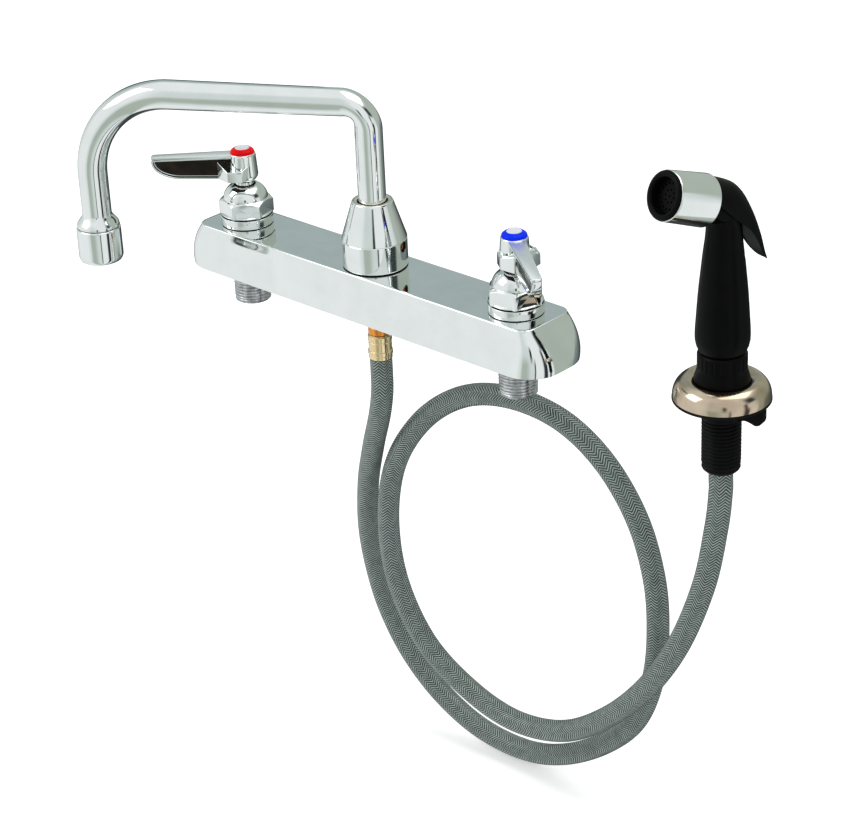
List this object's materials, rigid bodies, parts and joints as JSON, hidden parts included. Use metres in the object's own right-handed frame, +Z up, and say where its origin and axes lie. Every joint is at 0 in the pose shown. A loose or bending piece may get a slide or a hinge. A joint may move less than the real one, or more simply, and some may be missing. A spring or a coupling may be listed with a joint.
{
  "type": "pre rinse faucet",
  "caption": "Deck-mount mixing faucet with lever valves, a swing nozzle, and a trigger side spray on a braided hose that rests in its own deck holder.",
  "frame": {"origin": "centre of the body's underside, on the deck", "axes": "+X along the body toward the cold valve and the side spray, +Y toward the back of the deck, +Z up"},
  "size_m": [0.3944, 0.1403, 0.4204],
  "materials": {
    "body_chrome": "polished chrome on a cast brass body",
    "chrome": "polished chrome on brass",
    "shank_steel": "unpolished plated thread",
    "ceramic": null,
    "seal_rubber": "moulded seal rubber",
    "red_enamel": "glossy red index ring",
    "blue_enamel": "glossy blue index ring",
    "cap_metal": "bare metal centre cap",
    "dark_steel": "plain steel",
    "brass": "bare brass",
    "copper": "copper-coloured fitting",
    "white_plastic": "moulded acetal",
    "hose": "clear-grey vinyl over a white braid",
    "black_plastic": "moulded black plastic, slight gloss",
    "nickel": "bright nickel-plated sheet"
  },
  "bodies": {
    "faucet": {"faucet_body": "body_chrome", "hot_shank": "shank_steel", "cold_shank": "shank_steel", "hot_valve_ring": "chrome", "cold_valve_ring": "chrome", "hot_bonnet": "chrome", "cold_bonnet": "chrome", "hot_fixed_disc": "ceramic", "cold_fixed_disc": "ceramic", "hot_packing": "seal_rubber", "cold_packing": "seal_rubber", "spout_base": "chrome", "spout_nut": "chrome", "spout_set_screw": "copper", "diverter_seat": "brass", "spray_outlet_adapter": "copper", "hose_ferrule": "brass", "hose_barb": "brass", "spray_hose": "hose", "spray_holder": "black_plastic", "holder_escutcheon": "nickel", "escutcheon_gasket": "seal_rubber", "holder_wing_nut": "black_plastic"},
    "hot_lever": {"hot_stem": "chrome", "hot_moving_disc": "ceramic", "hot_handle": "chrome", "hot_index_ring": "red_enamel", "hot_cap": "cap_metal", "hot_handle_screw": "dark_steel"},
    "cold_lever": {"cold_stem": "chrome", "cold_moving_disc": "ceramic", "cold_handle": "chrome", "cold_index_ring": "blue_enamel", "cold_cap": "cap_metal", "cold_handle_screw": "dark_steel"},
    "nozzle": {"spout_tube": "chrome", "swivel_sleeve": "brass", "swivel_o_rings": "seal_rubber", "swivel_thrust_washer": "white_plastic", "aerator_housing": "chrome", "aerator_insert": "white_plastic", "aerator_washer": "seal_rubber"},
    "diverter": {"diverter_piston": "brass"},
    "spray_base": {"spray_collar": "black_plastic", "hose_coupling": "brass", "hose_tail": "hose"},
    "handset": {"spray_handle": "black_plastic", "coupling_washer": "seal_rubber", "spray_sleeve": "chrome", "spray_face": "black_plastic", "spray_screen": "black_plastic", "trigger_pin": "dark_steel", "spray_valve_spring": "dark_steel"},
    "trigger": {"spray_trigger": "black_plastic"},
    "spray_valve": {"spray_valve_stem": "brass", "spray_valve_seal": "seal_rubber"}
  },
  "joints": [
    {"name": "nozzle_swing", "type": "hinge", "parent": "faucet", "child": "nozzle", "pos_m": [0, 0, 0.04], "axis": [0, 0, 1], "continuous": true},
    {"name": "hot_turn", "type": "hinge", "parent": "faucet", "child": "hot_lever", "pos_m": [-0.1016, 0, 0.04], "axis": [0, 0, 1], "range_deg": [0, 90]},
    {"name": "cold_turn", "type": "hinge", "parent": "faucet", "child": "cold_lever", "pos_m": [0.1016, 0, 0.04], "axis": [0, 0, 1], "range_deg": [-90, 0]},
    {"name": "spray_lift", "type": "slide", "parent": "faucet", "child": "spray_base", "axis": [0, 0, 1], "range_m": [0, 0.045]},
    {"name": "spray_turn", "type": "hinge", "parent": "spray_base", "child": "handset", "pos_m": [0.217, 0.024, 0.035], "axis": [0, 0, 1], "continuous": true},
    {"name": "trigger_squeeze", "type": "hinge", "parent": "handset", "child": "trigger", "pos_m": [0.21562, 0.01868, 0.1075], "axis": [-0.9681, 0.2504, 0], "range_deg": [0, 8], "stiffness_Nm_per_rad": 0.5, "springref_deg": -22.92},
    {"name": "spray_valve_push", "type": "slide", "parent": "handset", "child": "spray_valve", "axis": [0, 0, -1], "range_m": [0, 0.00095], "deforming": ["spray_valve_spring"]},
    {"name": "diverter_lift", "type": "slide", "parent": "faucet", "child": "diverter", "axis": [0, 0, 1], "range_m": [0, 0.004]}
  ],
  "couplings": [
    {"joint": "spray_valve_push", "follows": "trigger_squeeze", "m_per_rad": 0.0063},
    {"joint": "diverter_lift", "follows": "trigger_squeeze", "m_per_rad": 0.028}
  ]
}
